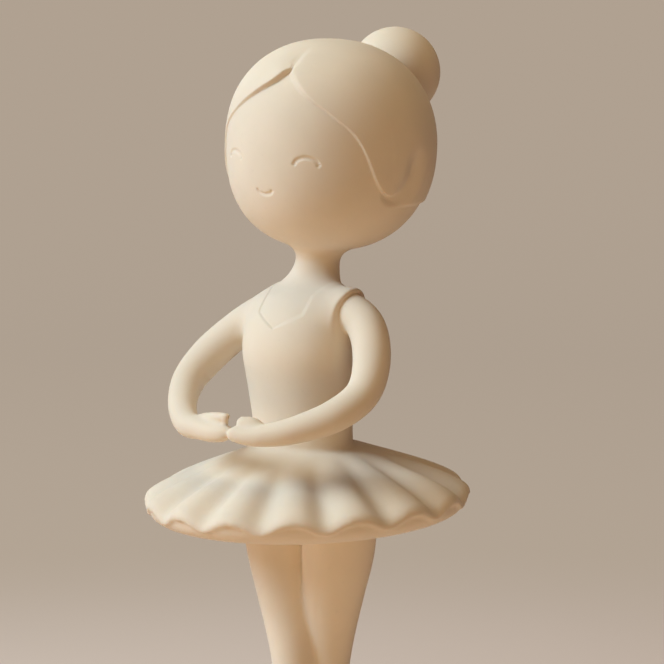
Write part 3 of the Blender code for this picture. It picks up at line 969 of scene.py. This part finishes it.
class FIGURINE_OT_add_studio(bpy.types.Operator):
    """Add the floor and backdrop, the lights and the camera"""
    bl_idname = "figurine.add_studio"
    bl_label = "Add Studio"

    def execute(self, context):
        studio = context.scene.figurine_studio
        self.add_cove(studio)
        self.add_lights(studio)
        self.add_camera(studio)
        return {"FINISHED"}

    def add_cove(self, studio):
        """A round floor that curves up into a wall on every side."""
        bend = WALL_RADIUS - FLOOR_RADIUS
        outline = [(0, 0), (0.15, 0), (0.4, 0), (0.8, 0)]
        outline += [(FLOOR_RADIUS + bend * sin(radians(a)), bend - bend * cos(radians(a)))
                    for a in range(0, 91, 6)]
        outline.append((WALL_RADIUS, WALL_HEIGHT))
        bm = spun(outline, 0.0001)
        bmesh.ops.reverse_faces(bm, faces=bm.faces)
        mesh = bpy.data.meshes.new("studio_cove")
        bm.to_mesh(mesh)
        bm.free()
        mesh.shade_smooth()
        cove = finished_object("studio_cove", mesh, self.paper(studio))
        # The paper is a picture ground only: it neither shades the figure nor lights it
        cove.visible_shadow = False
        cove.visible_diffuse = False

    def paper(self, studio):
        """Pale round the figure, and a softly glowing taupe further out."""
        material = bpy.data.materials.new("backdrop_paper")
        nodes = Nodes(material)
        place = nodes.add("ShaderNodeTexCoord", output="Object")
        out = nodes.add("ShaderNodeVectorMath", {"operation": "LENGTH"}, {0: place}, "Value")
        clouds = nodes.noise(place, scale=3.0, detail=2.0, roughness=0.5)
        far = nodes.ramp(out + (clouds - 0.5) * 0.08, 0.2, 0.46)
        near_colour, far_colour = studio.floor_colour, studio.backdrop_colour
        # The paper round the figure is lit by the lamps, and further out it mostly glows
        lit = nodes.blend(far, shade(near_colour, 1.0), shade(far_colour, 0.25))
        glow = nodes.blend(far, shade(near_colour, 0.1), shade(far_colour, 0.85))
        nodes.feed(nodes.shader.inputs["Base Color"], lit)
        nodes.feed(nodes.shader.inputs["Emission Color"], glow)
        nodes.shader.inputs["Emission Strength"].default_value = 1.0
        nodes.shader.inputs["Roughness"].default_value = 0.95
        nodes.shader.inputs["Specular IOR Level"].default_value = 0.1
        return material

    def add_lights(self, studio):
        tones = {"key_light": (studio.key_power, studio.key_colour),
                 "top_light": (studio.top_power, studio.top_colour),
                 "left_bounce": (studio.left_power, studio.bounce_colour),
                 "floor_bounce": (studio.bounce_power, studio.bounce_colour),
                 "front_bounce": (studio.front_power, studio.front_colour)}
        for name, (turn, rise, distance, width, height) in LAMPS.items():
            light = bpy.data.lights.new(name, "AREA")
            light.shape = "DISK"
            light.size = width
            light.energy, light.color = tones[name]
            lamp = stand(name, light, Vector((0, 0, height)),
                         studio.view_azimuth + radians(turn), radians(rise), distance)
            lamp.visible_camera = False
        world = bpy.data.worlds.new("studio_sky")
        world.use_nodes = True
        background = world.node_tree.nodes["Background"]
        background.inputs["Color"].default_value = (*studio.sky_colour, 1.0)
        background.inputs["Strength"].default_value = studio.sky
        bpy.context.scene.world = world
        bpy.context.scene.view_settings.view_transform = "Standard"

    def add_camera(self, studio):
        azimuth = studio.view_azimuth
        right = Vector((cos(azimuth), sin(azimuth), 0))
        aim = Vector((0, 0, AIM_HEIGHT)) + right * AIM_RIGHT
        data = bpy.data.cameras.new("studio_camera")
        data.sensor_width = 36
        data.lens = studio.focal_length
        data.clip_start = 0.01
        data.clip_end = 20
        bpy.context.scene.camera = stand("studio_camera", data, aim, azimuth,
                                         studio.view_elevation, studio.view_distance)


class FIGURINE_PT_panel(bpy.types.Panel):
    """Sizes, finish and studio of the figurine, with a button for each piece"""
    bl_label = "Ballerina Figurine"
    bl_idname = "FIGURINE_PT_panel"
    bl_space_type = "VIEW_3D"
    bl_region_type = "UI"
    bl_category = "Figurine"

    def draw(self, context):
        for group in (context.scene.figurine_sizes, context.scene.figurine_finish,
                      context.scene.figurine_studio):
            box = self.layout.box()
            for name in group.__annotations__:
                box.prop(group, name)
        for operator in PIECES:
            self.layout.operator(operator.bl_idname)


PIECES = (FIGURINE_OT_add_figure, FIGURINE_OT_add_base, FIGURINE_OT_add_studio)
GROUPS = {"figurine_sizes": FigurineSizes, "figurine_finish": FigurineFinish,
          "figurine_studio": FigurineStudio}
CLASSES = (*GROUPS.values(), *PIECES, FIGURINE_PT_panel)


def register():
    for cls in CLASSES:
        bpy.utils.register_class(cls)
    for name, group in GROUPS.items():
        setattr(bpy.types.Scene, name, PointerProperty(type=group))


def unregister():
    for name in GROUPS:
        delattr(bpy.types.Scene, name)
    for cls in reversed(CLASSES):
        bpy.utils.unregister_class(cls)


def main():
    register()
    bpy.ops.figurine.add_figure()
    bpy.ops.figurine.add_base()
    bpy.ops.figurine.add_studio()


if __name__ == "__main__":
    main()
